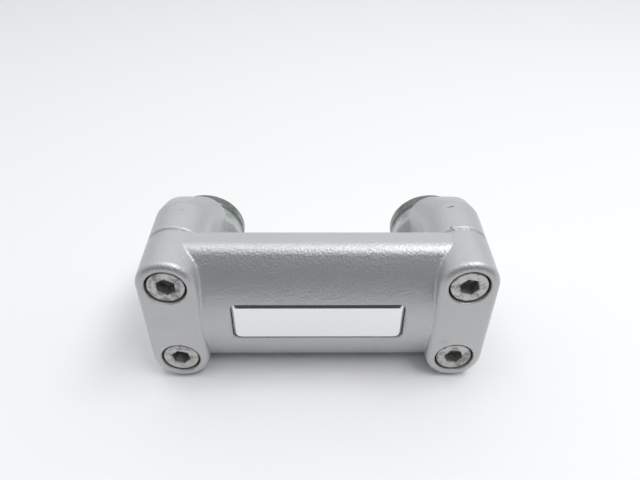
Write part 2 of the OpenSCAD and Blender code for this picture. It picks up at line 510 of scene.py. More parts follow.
@dataclass(frozen=True)
class CastPaint:
    """Silver paint on a die casting: fine metal flake and a light orange peel, with chips.

    Attributes:
        name: Name of the material.
        colour: Linear colour of the paint.
        dark: Linear colour of a chip.
        shade: Factor on the colour in its darker spots and clouds.
        gleam: Factor on the colour in its brighter spots.
        rubbed: Factor on the colour in a scuff.
        metallic: Share of the metal flake.
        roughness: Roughness of the paint.
        peel_mm: Depth of the orange peel.
        grain_mm: Depth of the fine grain that makes the glints sparkle.
        chip_mm: Depth of a chip.
        chips: Dark marks where the paint is gone.
        scuffs: Faint marks where it is rubbed.
    """

    name: str
    colour: tuple[float, float, float] = (0.585, 0.595, 0.605)
    dark: tuple[float, float, float] = (0.10, 0.095, 0.09)
    shade: float = 0.93
    gleam: float = 1.06
    rubbed: float = 0.62
    metallic: float = 0.6
    roughness: float = 0.40
    peel_mm: float = 0.08
    grain_mm: float = 0.22
    chip_mm: float = 0.12
    chips: tuple[Mark, ...] = ()
    scuffs: tuple[Mark, ...] = ()

    def material(self) -> bpy.types.Material:
        """The painted metal as a node material.

        Returns:
            The material.
        """
        n = SurfaceNodes(self.name)
        flake = n.noise(6.0, 1.0)
        cloud = n.noise(0.05, 2.0)
        shade, gleam = scaled(self.colour, self.shade), scaled(self.colour, self.gleam)
        paint = n.blend(n.ramp(flake, 0.3, 0.7), shade, gleam)
        paint = n.blend(n.ramp(cloud, 0.3, 0.7, 0.0, 0.35), paint, shade)
        rough = n.ramp(flake, 0.25, 0.75, self.roughness - 0.06, self.roughness + 0.08)
        for mark in self.scuffs:
            share = n.math("MULTIPLY", n.spot(mark.centre, mark.radii, 0.6, 0.3), mark.share)
            paint = n.blend(share, paint, scaled(self.colour, self.rubbed))
        chipped = None
        for mark in self.chips:
            share = n.math("MULTIPLY", n.spot(mark.centre, mark.radii, 0.25, 0.35), mark.share)
            paint = n.blend(share, paint, self.dark)
            chipped = share if chipped is None else n.math("MAXIMUM", chipped, share)
        n.join(paint, n.shader.inputs["Base Color"])
        n.join(rough, n.shader.inputs["Roughness"])
        n.shader.inputs["Metallic"].default_value = self.metallic
        peel = n.bump(n.noise(0.35, 2.0, 0.6), self.peel_mm)
        skin = n.bump(n.noise(1.1, 2.0, 0.7), self.grain_mm, peel)
        if chipped is not None:
            skin = n.bump(n.math("SUBTRACT", 1.0, chipped), self.chip_mm, skin)
        n.join(skin, n.shader.inputs["Normal"])
        return n.material


@dataclass(frozen=True)
class WornZinc:
    """Zinc plating that has been handled: pale and mottled, with dull patches and fine specks.

    Attributes:
        name: Name of the material.
        colour: Linear colour of the plating.
        dull: Linear colour of its dull patches.
        speck: Factor on the dull colour in the specks.
    """

    name: str
    colour: tuple[float, float, float] = (0.58, 0.575, 0.56)
    dull: tuple[float, float, float] = (0.30, 0.295, 0.285)
    speck: float = 0.8

    def material(self) -> bpy.types.Material:
        """The plating as a node material.

        Returns:
            The material.
        """
        n = SurfaceNodes(self.name)
        patch = n.ramp(n.noise(0.45, 5.0, 0.65), 0.44, 0.66)
        fine = n.noise(3.5, 3.0)
        colour = n.blend(patch, self.colour, self.dull)
        specks = n.ramp(fine, 0.35, 0.75, 0.0, 0.3)
        colour = n.blend(specks, colour, scaled(self.dull, self.speck))
        n.join(colour, n.shader.inputs["Base Color"])
        n.join(n.ramp(patch, 0.0, 1.0, 0.34, 0.6), n.shader.inputs["Roughness"])
        n.shader.inputs["Metallic"].default_value = 0.85
        skin = n.bump(fine, 0.01, n.bump(n.noise(0.9, 3.0), 0.02))
        n.join(skin, n.shader.inputs["Normal"])
        return n.material


@dataclass(frozen=True)
class BrushedPlate:
    """A bare bright metal plate with a fine grain along the bar.

    Attributes:
        name: Name of the material.
        colour: Linear colour of the metal.
        furrow: Factor on the colour in the furrows of the grain.
    """

    name: str
    colour: tuple[float, float, float] = (0.84, 0.85, 0.855)
    furrow: float = 0.96

    def material(self) -> bpy.types.Material:
        """The plate as a node material.

        Returns:
            The material.
        """
        n = SurfaceNodes(self.name)
        grain = n.noise(5.0, 2.0, 0.5, (0.04, 1.0, 1.0))
        colour = n.blend(n.ramp(grain, 0.3, 0.7), scaled(self.colour, self.furrow), self.colour)
        n.join(colour, n.shader.inputs["Base Color"])
        n.join(n.ramp(grain, 0.3, 0.7, 0.10, 0.18), n.shader.inputs["Roughness"])
        n.shader.inputs["Metallic"].default_value = 1.0
        n.join(n.bump(grain, 0.002), n.shader.inputs["Normal"])
        return n.material


@dataclass(frozen=True)
class DarkPlating:
    """A dark, slightly green plating, turned and lightly worn, that is paler on the neck.

    Attributes:
        name: Name of the material.
        colour: Linear colour of the plating.
        worn: Linear colour where it is worn.
        pale: Linear colour of the neck.
        neck_y: Depth at which the neck's colour ends.
        fade: Half of the length over which it changes.
    """

    name: str
    colour: tuple[float, float, float] = (0.20, 0.22, 0.205)
    worn: tuple[float, float, float] = (0.42, 0.45, 0.43)
    pale: tuple[float, float, float] = (0.50, 0.55, 0.52)
    neck_y: float = 36.0
    fade: float = 0.6

    def material(self) -> bpy.types.Material:
        """The plating as a node material.

        Returns:
            The material.
        """
        n = SurfaceNodes(self.name)
        turned = n.noise(1.6, 2.0, 0.5, (0.08, 1.0, 0.08))
        worn = n.ramp(n.noise(0.5, 4.0, 0.6), 0.5, 0.72, 0.0, 0.6)
        part = n.add("ShaderNodeSeparateXYZ")
        n.join(n.place, part.inputs[0])
        span = ((self.neck_y - self.fade) * MM, (self.neck_y + self.fade) * MM)
        rim = n.ramp(part.outputs["Y"], *span)
        colour = n.blend(rim, self.pale, n.blend(worn, self.colour, self.worn))
        n.join(colour, n.shader.inputs["Base Color"])
        n.join(n.ramp(turned, 0.3, 0.7, 0.22, 0.36), n.shader.inputs["Roughness"])
        n.shader.inputs["Metallic"].default_value = 0.75
        n.join(n.bump(turned, 0.006), n.shader.inputs["Normal"])
        return n.material


@dataclass(frozen=True)
class PadFoamAndPaintedShade:
    """The adhesive pad's foam, near black: painted shade in the gap round the badge plate.

    Attributes:
        name: Name of the material.
        colour: Linear colour of the foam, near black as painted shade.
        cell: Factor on the colour in its cells.
    """

    name: str
    colour: tuple[float, float, float] = (0.02, 0.02, 0.022)
    cell: float = 0.6

    def material(self) -> bpy.types.Material:
        """The foam as a node material.

        Returns:
            The material.
        """
        n = SurfaceNodes(self.name)
        cells = n.noise(2.5, 2.0)
        # Near black foam: painted shade for the gap round the badge plate, on a pad the part really
        # has.
        colour = n.blend(n.ramp(cells, 0.3, 0.7), scaled(self.colour, self.cell), self.colour)
        n.join(colour, n.shader.inputs["Base Color"])
        n.shader.inputs["Roughness"].default_value = 0.9
        n.join(n.bump(cells, 0.03), n.shader.inputs["Normal"])
        return n.material


def dressed(
    piece: bpy.types.Object, material: bpy.types.Material, node: str
) -> bpy.types.Object:
    """Gives a piece its material and puts it in the place of a CAD node.

    Args:
        piece: The finished piece.
        material: Its material.
        node: The CAD node that it stands for.

    Returns:
        The piece.
    """
    piece.data.materials.clear()
    piece.data.materials.append(material)
    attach(piece, BODY)
    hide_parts(node)
    faces = len(piece.data.polygons)
    log.info("%s: %d faces, stands for %s", piece.name, faces, node)
    return piece


@dataclass(frozen=True)
class Layout:
    """Sizes that the sub-assemblies share.

    Attributes:
        bar_r: Radius of the bar.
        spacing: Distance between the two clamps.
        screw_spacing: Distance between the two screws of a clamp.
        front_y: Depth of the faces of the end plates.
        floor_y: Depth of the floor of the badge's recess.
        parting_r: Corner radius of the castings at the parting plane.
        head_top_y: Depth of the faces of the screw heads.
        seat_y: Depth of the floors of the counterbores.
        tip_y: Depth of the tips of the screws.
        shank_r: Radius of the screws.
        base_shift: How far the axis of base, stud and ring lies inwards of the clamp's.
    """

    bar_r: float = 11.1
    spacing: float = 102.0
    screw_spacing: float = 35.5
    front_y: float = -19.3
    floor_y: float = -16.2
    parting_r: float = 10.7
    head_top_y: float = -18.7
    seat_y: float = -10.7
    tip_y: float = 19.3
    shank_r: float = 4.0
    base_shift: float = 3.5

    @property
    def half_span(self) -> float:
        """Distance of a clamp from the middle."""
        return self.spacing / 2

    @property
    def half_screws(self) -> float:
        """Distance of a screw from the bar axis."""
        return self.screw_spacing / 2


@dataclass
class Badge:
    """The bare plate in the recess of the bridge, and the recess that takes it.

    Attributes:
        layout: The shared sizes.
        length: Length of the recess along the bar.
        height: Height of the recess.
        corner_r: Radius of its corners.
        mouth: Width of the broken edge of its mouth.
        gap: Gap between the plate and the walls of the recess.
        thickness: Thickness of the plate.
        pad: Thickness of the adhesive bed.
        bed_gap: Gap between the bed and the walls; the near black bed fills it as painted shade.
        sag: How far the plate has sunk from the middle of the recess.
        edge: Width of the plate's bevel.
        lean: Share of that width by which the front is moved down, so that the bevel is broad
            along the top and hardly shows along the bottom.
        rise: Height of the plain edge behind the bevel.
    """

    layout: Layout
    length: float = 61.5
    height: float = 16.5
    corner_r: float = 2.2
    mouth: float = 0.22
    gap: float = 0.3
    thickness: float = 0.7
    pad: float = 0.3
    bed_gap: float = 0.04
    sag: float = 0.25
    edge: float = 0.8
    lean: float = 0.85
    rise: float = 0.06

    def slab_rows(self, grow: float, levels: list[tuple[float, float, float]]) -> np.ndarray:
        """Rings of the badge's outline.

        Args:
            grow: How much larger than the recess they are, all round.
            levels: Depth, inset and corner reach of each ring.

        Returns:
            Rounded rows of y, r, a, b and shift.
        """
        r = self.corner_r
        a, b = self.length / 2 - r, self.height / 2 - r
        rings = [(Ring(y, r + grow - inset, a, b), reach) for y, inset, reach in levels]
        return ring_rows(rings, 4)

    def recess(self, arch: "ArchSection") -> bpy.types.Object:
        """The cutter of the recess. Its mouth follows the arched front and has a broken edge.

        Args:
            arch: Section of the bridge. All levels but the floor are depths below its front.

        Returns:
            The cutter.
        """
        mouth, floor, past = self.mouth, self.layout.floor_y, 2 * PAST
        levels = [(-past, -past - mouth, 0), (0.0, -mouth, 0), (mouth, 0, 0), (floor, 0, 0)]
        grid = lofted(self.slab_rows(0.0, levels), arc=8)
        last = grid[:, 0, 1] == floor
        grid[~last, :, 1] += arch.front(grid[~last, :, 2])
        return solid("recess_cutter", grid)

    def build(self) -> bpy.types.Object:
        """The bare plate with its bevel.

        An inset moves the corner centres in and keeps the corner radius.

        Returns:
            The dressed piece.
        """
        back = self.layout.floor_y - self.pad
        front = back - self.thickness
        levels = [
            (front, 1.5, 0),
            (front, self.edge, 0.15),
            (back - self.rise, 0.0, 0.05),
            (back, 0.0, 0),
        ]
        rows = self.slab_rows(-self.gap, levels)
        inset = self.corner_r - self.gap - rows[:, 1]
        rows[:, 1:4] += inset[:, None] * np.array([1, -1, -1])
        grid = lofted(rows, arc=8)
        grid[:, :, 2] -= self.sag + np.minimum(inset, self.edge)[:, None] * self.lean
        plate = smoothed(solid("badge_plate_bare", grid))
        return dressed(plate, BrushedPlate("badge_metal").material(), "badge_plate")

    def build_pad(self) -> bpy.types.Object:
        """The adhesive bed under the plate, squeezed out to the walls of the recess, its near black
        foam painted shade round the plate.

        Returns:
            The dressed piece.
        """
        floor = self.layout.floor_y
        levels = [(floor - self.pad, 0.3, 0), (floor - self.pad, 0.0, 0.1), (floor, 0.0, 0)]
        grid = lofted(self.slab_rows(-self.bed_gap, levels), arc=8)
        pad = smoothed(solid("badge_pad_foam_and_shade", grid))
        # The pad's near black foam is painted shade in the recess gap round the plate.
        return dressed(pad, PadFoamAndPaintedShade("adhesive_pad").material(), "badge_pad")


@dataclass(frozen=True)
class ArchSection:
    """The section of the arched bridge across the bar.

    The front is an arc of radius arch_r about a point on the y axis, its upper and lower edges
    are arcs of radius edge_r, tangent to that arc and to the flat top and underside.

    Attributes:
        crown_y: Depth of the front in the middle.
        arch_r: Radius of the front arc.
        edge_r: Radius of the edge arcs.
        half_h: Half of the height.
        back_chamfer: Chamfer at the back.
    """

    crown_y: float = -18.4
    arch_r: float = 43.5
    edge_r: float = 6.0
    half_h: float = 27.3
    back_chamfer: float = 0.8

    @property
    def centre_y(self) -> float:
        """Depth of the front arc's centre."""
        return self.crown_y + self.arch_r

    @property
    def edge_z(self) -> float:
        """Height of the edge arc's centre."""
        return self.half_h - self.edge_r

    @property
    def edge_y(self) -> float:
        """Depth of the edge arc's centre."""
        return self.centre_y - math.sqrt((self.arch_r - self.edge_r) ** 2 - self.edge_z**2)

    @property
    def edge_angle(self) -> float:
        """Angle at which the front arc passes into the edge arc."""
        return math.asin(self.edge_z / (self.arch_r - self.edge_r))

    def front(self, z: np.ndarray) -> np.ndarray:
        """Depth of the front arc at height z."""
        return self.centre_y - np.sqrt(self.arch_r**2 - z**2)

    def upper(self, out: float, steps: tuple[int, int] = (40, 16)) -> np.ndarray:
        """Upper half of the front, as points of the two arcs at an angle f from -Y towards Z.

        Args:
            out: How far it is set out.
            steps: Number of chords in the front arc and in the edge arc.

        Returns:
            One line of y, z and the normal's y and z for each point.
        """
        first = np.linspace(0, self.edge_angle, steps[0] + 1)
        second = np.linspace(self.edge_angle, math.pi / 2, steps[1] + 1)[1:]
        angle = np.concatenate([first, second])
        on_edge = np.arange(len(angle)) > steps[0]
        r = np.where(on_edge, self.edge_r, self.arch_r) + out
        y = np.where(on_edge, self.edge_y, self.centre_y) - r * np.cos(angle)
        z = np.where(on_edge, self.edge_z, 0.0) + r * np.sin(angle)
        return np.stack([y, z, -np.cos(angle), np.sin(angle)], axis=1)

    def closed(self, inset: float, back: float) -> np.ndarray:
        """The whole section, from its back round the front.

        Args:
            inset: How far the front lies inside that of the section.
            back: Depth of the flat back.

        Returns:
            A closed row of y and z.
        """
        up = self.upper(-inset)[:, :2]
        top, c = up[-1, 1], self.back_chamfer
        down = up[:0:-1] * np.array([1, -1])
        ends = np.array([[back - c, top], [back, top - c]])
        return np.vstack([ends[::-1] * np.array([1, -1]), down, up, ends])


@dataclass
class Bridge:
    """The cast upper part: two end plates with counterbores and the arched bar between them.

    Attributes:
        layout: The shared sizes.
        arch: Section of the bar.
        plate_r: Corner radius of an end plate where its front edge begins.
        edge_r: Radius of that front edge.
        chamfer: Chamfer at the parting plane.
        fillet_r: Radius of the fillet between bar and plates.
        wall: Thickness of the bar's wall over the hollow back.
        hollow_end: Thickness between the hollow and an end plate.
        bore_r: Radius of a counterbore.
        shank_hole_r: Radius of the hole for a screw.
        rim: Width of a counterbore's broken rim.
        sink: How far the fillet lies inside the surfaces that it meets, so that they join.
        root: How deep the closed side of the fillet lies in the casting.
    """

    layout: Layout
    arch: ArchSection = field(default_factory=ArchSection)
    plate_r: float = 10.3
    edge_r: float = 2.2
    chamfer: float = 0.8
    fillet_r: float = 1.2
    wall: float = 4.2
    hollow_end: float = 4.0
    bore_r: float = 7.15
    shank_hole_r: float = 4.35
    rim: float = 0.3
    sink: float = 0.006
    root: float = 0.5

    def plate(self, side: Side) -> bpy.types.Object:
        """An end plate: an obround with a rounded front edge and a chamfer at the back.

        Args:
            side: The side of the clamp.

        Returns:
            The plate in its place.
        """
        at = self.layout
        rings = [
            (Ring(at.front_y, self.plate_r - 2 * self.edge_r, b=at.half_screws), 0),
            (Ring(at.front_y, self.plate_r, b=at.half_screws), self.edge_r),
            (Ring(-self.chamfer, at.parting_r, b=at.half_screws), 0.25),
            (Ring(0.0, at.parting_r - self.chamfer, b=at.half_screws), 0.1),
            (Ring(0.0, at.parting_r - 3 * self.chamfer, b=at.half_screws), 0),
        ]
        grid = lofted(ring_rows(rings, 10), arc=28)
        return solid(f"plate_{side.name.lower()}", moved(grid, x=side.value * at.half_span))

    def plate_offset(self, y: np.ndarray) -> tuple[np.ndarray, np.ndarray]:
        """The end plate, set out by the fillet's radius.

        Beside the front edge the radius is the core plus sqrt(reach^2 - fall^2), where reach is
        the sum of both radii, and behind it the draft adds to that in a straight line.

        Args:
            y: Depths.

        Returns:
            The radius at each depth, and the tilt of the surface's normal there.
        """
        at = self.layout
        core = self.plate_r - self.edge_r
        edge_y = at.front_y + self.edge_r
        reach = self.edge_r + self.fillet_r
        fall = np.minimum(y - edge_y, 0.0)
        draft = (at.parting_r - self.plate_r) / (-self.chamfer - edge_y)
        grow = np.maximum(y - edge_y, 0.0) * draft
        along = np.sqrt(np.maximum(reach**2 - fall**2, 0.0))
        return core + along + grow, np.arctan2(fall, along)

    def fillet(self, side: Side) -> bpy.types.Object:
        """The fillet between the arch and an end plate, as a surface of two parameters.

        The ball of radius fillet_r that touches both has its centre on both surfaces set out by
        that radius: y and z follow the section of the arch, x is the end plate's outline there.
        The second parameter turns from the contact with the arch to that with the plate.

        Args:
            side: The side of the clamp.

        Returns:
            The fillet as a solid, closed inside the casting.
        """
        at = self.layout
        up = self.arch.upper(self.fillet_r, (70, 24))
        tail = np.linspace(up[-1, 0], -self.chamfer, 8)[1:]
        flat = np.ones(len(tail))
        top = np.stack([tail, flat * up[-1, 1], flat * 0, flat], axis=1)
        up = np.vstack([up, top])
        row = np.vstack([up[:0:-1] * np.array([1, -1, 1, -1]), up])
        radius, tilt = self.plate_offset(row[:, 0])
        over = np.maximum(np.abs(row[:, 1]) - at.half_screws, 0.0)
        across = np.sqrt(np.maximum(radius**2 - over**2, 0.0))
        centre = np.stack([at.half_span - across, row[:, 0], row[:, 1]], axis=1)
        to_arch = -np.stack([np.zeros(len(row)), row[:, 2], row[:, 3]], axis=1)
        level = np.stack([across / radius, np.sign(row[:, 1]) * -over / radius], axis=1)
        to_plate = np.stack(
            [level[:, 0] * np.cos(tilt), -np.sin(tilt), level[:, 1] * np.cos(tilt)], axis=1
        )
        t = np.linspace(0, 1, 9)[None, :, None]
        turn = to_arch[:, None] * (1 - t) + to_plate[:, None] * t
        turn /= np.linalg.norm(turn, axis=2, keepdims=True)
        arc = centre[:, None] + (self.fillet_r + self.sink) * turn
        deep = centre + (self.fillet_r + self.root) * (to_arch + to_plate)
        grid = np.concatenate([arc, deep[:, None]], axis=1)
        return solid(f"fillet_{side.name.lower()}", moved(grid, side=side.value))

    def counterbore(self, x: float, z: float) -> list[bpy.types.Object]:
        """The cutters of one screw: the counterbore with a broken rim, and the shank's hole.

        Args:
            x: Place of the screw along the bar.
            z: Its height.

        Returns:
            The two cutters.
        """
        at = self.layout
        head = [
            (Ring(at.front_y - PAST, self.bore_r + self.rim + PAST), 0),
            (Ring(at.front_y + self.rim, self.bore_r), 0.12),
            (Ring(at.seat_y, self.bore_r), 0.4),
            (Ring(at.seat_y, self.bore_r - 2), 0),
        ]
        shank = [(Ring(at.front_y, self.shank_hole_r), 0), (Ring(PAST, self.shank_hole_r), 0)]
        return [
            solid("head_cutter", moved(lofted(ring_rows(head, 4), arc=20), x, z)),
            solid("shank_cutter", moved(lofted(ring_rows(shank), arc=12), x, z)),
        ]

    def bar_cutter(self) -> bpy.types.Object:
        """The cutter of the bar's bore."""
        reach = self.layout.half_span + self.layout.parting_r + PAST
        return solid("bar_cutter", bar_bore(self.layout.bar_r, reach))

    def hollow_cutter(self) -> bpy.types.Object:
        """The cutter of the hollow, open at the back: an inset copy of the arch's section."""
        reach = self.layout.half_span - self.plate_r - self.hollow_end
        return solid("hollow_cutter", carried(self.arch.closed(self.wall, PAST), reach))

    def build(self, badge: Badge) -> bpy.types.Object:
        """The whole casting, painted.

        Args:
            badge: The badge whose recess is cut into the front.

        Returns:
            The dressed piece.
        """
        at = self.layout
        body = solid("upper_clamp_cast", carried(self.arch.closed(0.0, 0.0), at.half_span))
        added = [make(side) for make in (self.plate, self.fillet) for side in Side]
        cut = [self.bar_cutter(), self.hollow_cutter(), badge.recess(self.arch)]
        for side in Side:
            for z in (-at.half_screws, at.half_screws):
                cut += self.counterbore(side.value * at.half_span, z)
        paint = CastPaint("cast_silver_bridge", scuffs=BRIDGE_SCUFFS)
        piece = smoothed(combined(body, added, cut))
        return dressed(piece, paint.material(), "upper_clamp")


@dataclass
class SocketScrew:
    """One hexagon socket screw of the clamp.

    Attributes:
        layout: The shared sizes.
        side: The side of the clamp.
        upper: Whether it is the upper one of the two.
        turn: How far its socket is turned, in degrees.
        head_r: Radius of the head.
        head_edge: Corner reach of the head's edge.
        across_flats: Width of the socket.
        socket_depth: Depth of the socket.
        corner_r: Radius in the socket's corners.
        mouth: Depth of the socket's broken mouth.
        drill_r: Radius of the drilled hole below the socket.
        drill_point: Length of that hole's point.
        drill_tip_r: Radius at which the point ends.
        flare_r: Radius of the round flare at its deepest.
        flare_depth: Depth of the flare below the face.
        flare_grow: How much wider the flare's cutter is at its outer end.
        tip_chamfer: Chamfer at the tip.
    """

    layout: Layout
    side: Side
    upper: bool
    turn: float
    head_r: float = 6.5
    head_edge: float = 0.5
    across_flats: float = 6.0
    socket_depth: float = 4.5
    corner_r: float = 0.25
    mouth: float = 0.3
    drill_r: float = 2.6
    drill_point: float = 1.2
    drill_tip_r: float = 0.3
    flare_r: float = 2.8
    flare_depth: float = 0.35
    flare_grow: float = 2.0
    tip_chamfer: float = 1.0

    def build(self, zinc: bpy.types.Material) -> bpy.types.Object:
        """The screw with its socket, in its place.

        Args:
            zinc: The material of all four screws.

        Returns:
            The dressed piece.
        """
        at = self.layout
        name = f"clamp_screw_{'upper' if self.upper else 'lower'}_{self.side.name.lower()}"
        top, seat, tip = at.head_top_y, at.seat_y, at.tip_y
        rings = [
            (Ring(top, self.head_r - 1.6), 0),
            (Ring(top, self.head_r), self.head_edge),
            (Ring(seat, self.head_r), 0.2),
            (Ring(seat, at.shank_r), 0.3),
            (Ring(tip - self.tip_chamfer, at.shank_r), 0.15),
            (Ring(tip, at.shank_r - self.tip_chamfer), 0.15),
            (Ring(tip, 0.8), 0),
        ]
        body = solid(f"{name}_zinc", lofted(ring_rows(rings), arc=20))
        far = (self.across_flats / 2 - self.corner_r) / math.cos(math.radians(30))
        bottom = top + self.socket_depth
        hexagon = [
            (Ring(top - PAST, self.corner_r, far + self.mouth + PAST), 0),
            (Ring(top + self.mouth, self.corner_r, far), 0),
            (Ring(bottom, self.corner_r, far), 0),
        ]
        point = [
            (Ring(bottom - PAST, self.drill_r), 0),
            (Ring(bottom, self.drill_r), 0),
            (Ring(bottom + self.drill_point, self.drill_tip_r), 0),
        ]
        flare = [
            (Ring(top - PAST, self.flare_r + self.flare_grow), 0),
            (Ring(top + self.flare_depth, self.flare_r), 0),
        ]
        socket = lofted(ring_rows(hexagon), Outline.HEXAGON, 4)
        cut = [
            solid("socket_cutter", self.turned(socket)),
            solid("socket_point", lofted(ring_rows(point), arc=12)),
            solid("socket_flare", lofted(ring_rows(flare), arc=12)),
        ]
        piece = combined(body, cut=cut)
        z = at.half_screws if self.upper else -at.half_screws
        place = np.array([self.side.value * at.half_span, 0, z]) * MM
        points = np.empty(len(piece.data.vertices) * 3)
        piece.data.vertices.foreach_get("co", points)
        piece.data.vertices.foreach_set("co", (points.reshape(-1, 3) + place).ravel())
        return dressed(smoothed(piece), zinc, name)

    def turned(self, grid: np.ndarray) -> np.ndarray:
        """Turns a grid about the screw's axis by the screw's own turn.

        Args:
            grid: Points about the axis.

        Returns:
            The turned points.
        """
        c, s = math.cos(math.radians(self.turn)), math.sin(math.radians(self.turn))
        x, y, z = np.moveaxis(grid, -1, 0)
        return np.stack([c * x - s * z, y, s * x + c * z], axis=-1)


@dataclass
class Riser:
    """A riser: an obround block, a sloping shoulder and a round base moved inwards.

    Attributes:
        layout: The shared sizes.
        side: The side of the clamp.
        chamfer: Chamfer at the parting plane.
        block_len: Depth at which the block gives way to the shoulder.
        block_r: Corner radius of the block there.
        shoulder_y: Depth at which the shoulder ends.
        shoulder_half_h: Half of its height there.
        shoulder_half_w: Half of its width there.
        shoulder_r: Its corner radius there.
        shoulder_shift: How far its middle lies inwards there.
        base_r: Radius of the flange.
        base_y: Depth of the flange's back.
        flare_r: Radius of the base where it leaves the block.
        flare_y: Depth of that place.
        spigot_r: Radius of the spigot that carries the ring.
        spigot_y: Depth of its end.
        stud_r: Radius of the stud's thread at its crest.
        stud_root: Depth of the thread.
        stud_pitch: Pitch of the thread.
        stud_y: Depth of the inner end of its hole.
        thread_end: Length at the mouth of the hole that has no thread.
        screw_hole_r: Radius of a screw's hole.
        screw_hole_y: Depth of its end.
    """

    layout: Layout
    side: Side
    chamfer: float = 1.1
    block_len: float = 16.3
    block_r: float = 11.0
    shoulder_y: float = 28.7
    shoulder_half_h: float = 22.8
    shoulder_half_w: float = 12.6
    shoulder_r: float = 9.0
    shoulder_shift: float = 1.2
    base_r: float = 15.6
    base_y: float = 30.7
    flare_r: float = 7.0
    flare_y: float = 18.3
    spigot_r: float = 9.5
    spigot_y: float = 40.2
    stud_r: float = 5.0
    stud_root: float = 0.75
    stud_pitch: float = 1.5
    stud_y: float = 16.7
    thread_end: float = 0.8
    screw_hole_r: float = 4.06
    screw_hole_y: float = 22.3

    def shell(self) -> bpy.types.Object:
        """The block and its shoulder: one stack of rings from obround to rounded oblong.

        Returns:
            The two as one solid.
        """
        at = self.layout
        b = at.half_screws
        r = self.shoulder_r
        foot = (self.shoulder_half_w - r, self.shoulder_half_h - r, self.shoulder_shift)
        rings = [
            (Ring(0.0, at.parting_r - 3 * self.chamfer, b=b), 0),
            (Ring(0.0, at.parting_r - self.chamfer, b=b), 0.12),
            (Ring(self.chamfer, at.parting_r, b=b), 0.35),
            (Ring(self.block_len, self.block_r, b=b), 1.2),
            (Ring(self.shoulder_y, r, *foot), 0.5),
            (Ring(self.shoulder_y, r - 2, *foot), 0),
        ]
        return solid("riser_shell", self.placed(lofted(ring_rows(rings, 8), arc=28)))

    def base(self) -> bpy.types.Object:
        """The flare, the flange and the spigot, turned about the stud's axis.

        Returns:
            The three as one solid.
        """
        rings = [
            (Ring(self.flare_y, self.flare_r), 0),
            (Ring(self.shoulder_y, self.base_r), 0.9),
            (Ring(self.base_y, self.base_r), 0.3),
            (Ring(self.base_y, self.spigot_r), 0),
            (Ring(self.spigot_y, self.spigot_r), 0.4),
            (Ring(self.spigot_y, self.spigot_r - 1), 0),
        ]
        grid = lofted(ring_rows(rings), arc=24)
        return solid("riser_base", self.placed(grid, self.layout.base_shift))

    def stud_cutter(self) -> bpy.types.Object:
        """The cutter of the stud's thread.

        Its radius at angle f and depth y is the crest radius less the root times a triangle wave
        of y / pitch - f / 360, so that the groove winds round the axis. It dies away over a
        millimetre and leaves the mouth plain.

        Returns:
            The cutter.
        """
        y = np.arange(self.stud_y, self.spigot_y + PAST, self.stud_pitch / 6)[:, None]
        angle = np.linspace(0, 2 * math.pi, CHORDS // 2 + 1)[:-1]
        turn = y / self.stud_pitch - angle / (2 * math.pi)
        wave = np.abs(2 * (turn - np.floor(turn)) - 1)
        inside = np.clip(self.spigot_y - self.thread_end - y, 0, 1)
        grid = turned_about_y(self.stud_r - self.stud_root * wave * inside, y, angle)
        return solid("stud_cutter", self.placed(grid, self.layout.base_shift))

    def hole_cutter(self, z: float) -> bpy.types.Object:
        """The cutter of the hole for the screw at height z."""
        rings = [(Ring(y, self.screw_hole_r), 0) for y in (-PAST, self.screw_hole_y)]
        return solid("screw_cutter", moved(self.placed(lofted(ring_rows(rings), arc=12)), z=z))

    def bar_cutter(self) -> bpy.types.Object:
        """The cutter of the bar's bore, of which half lies in the riser."""
        reach = self.block_r + self.shoulder_half_w
        return solid("bar_cutter", self.placed(bar_bore(self.layout.bar_r, reach)))

    def placed(self, grid: np.ndarray, inwards: float = 0.0) -> np.ndarray:
        """A grid drawn for the left riser, with +x inwards, put in this riser's place."""
        shifted = grid + np.array([inwards - self.layout.half_span, 0, 0])
        return moved(shifted, side=-self.side.value)

    def build(self) -> bpy.types.Object:
        """The riser, painted.

        Returns:
            The dressed piece.
        """
        at = self.layout
        cut = [self.bar_cutter(), self.stud_cutter()]
        cut += [self.hole_cutter(z) for z in (-at.half_screws, at.half_screws)]
        name = f"riser_{self.side.name.lower()}"
        body = self.shell()
        body.name = f"{name}_cast"
        piece = smoothed(combined(body, [self.base()], cut))
        paint = CastPaint(f"cast_silver_{name}", chips=RISER_CHIPS[self.side])
        return dressed(piece, paint.material(), name)


@dataclass
class BaseRing:
    """The plated ring on a riser's spigot, with a slimmer neck next to the flange.

    Attributes:
        layout: The shared sizes.
        side: The side of the clamp.
        ring_r: Outer radius of the ring.
        bore_r: Radius of its bore.
        start_y: Depth at which it begins.
        neck_len: Length of the neck.
        neck_step: How much smaller the neck's radius is.
        end_y: Depth at which it ends.
        edge: Corner reach of its outer edge.
    """

    layout: Layout
    side: Side
    ring_r: float = 15.7
    bore_r: float = 9.55
    start_y: float = 30.7
    neck_len: float = 4.8
    neck_step: float = 0.9
    end_y: float = 40.7
    edge: float = 0.6

    def build(self, plating: bpy.types.Material) -> bpy.types.Object:
        """The ring in its place.

        Args:
            plating: The material of both rings.

        Returns:
            The dressed piece.
        """
        neck_y = self.start_y + self.neck_len
        neck_r = self.ring_r - self.neck_step
        middle_r = (self.bore_r + neck_r) / 2
        knots = np.array(
            [
                [self.start_y, middle_r],
                [self.start_y, neck_r],
                [neck_y, neck_r],
                [neck_y + self.neck_step, self.ring_r],
                [self.end_y, self.ring_r],
                [self.end_y, self.bore_r],
                [self.start_y, self.bore_r],
                [self.start_y, middle_r],
            ]
        )
        reach = np.array([0, 0.25, 0.15, 0.25, self.edge, 0.3, 0.25, 0])
        row = rounded(knots, reach)[:-1]
        angle = np.linspace(0, 2 * math.pi, CHORDS + 1)[:, None]
        grid = turned_about_y(row[:, 1], row[:, 0], angle)
        name = f"base_ring_{self.side.name.lower()}"
        x = self.side.value * (self.layout.half_span - self.layout.base_shift)
        piece = solid(f"{name}_plated", moved(grid, x=x), capped=False)
        return dressed(smoothed(piece), plating, name)


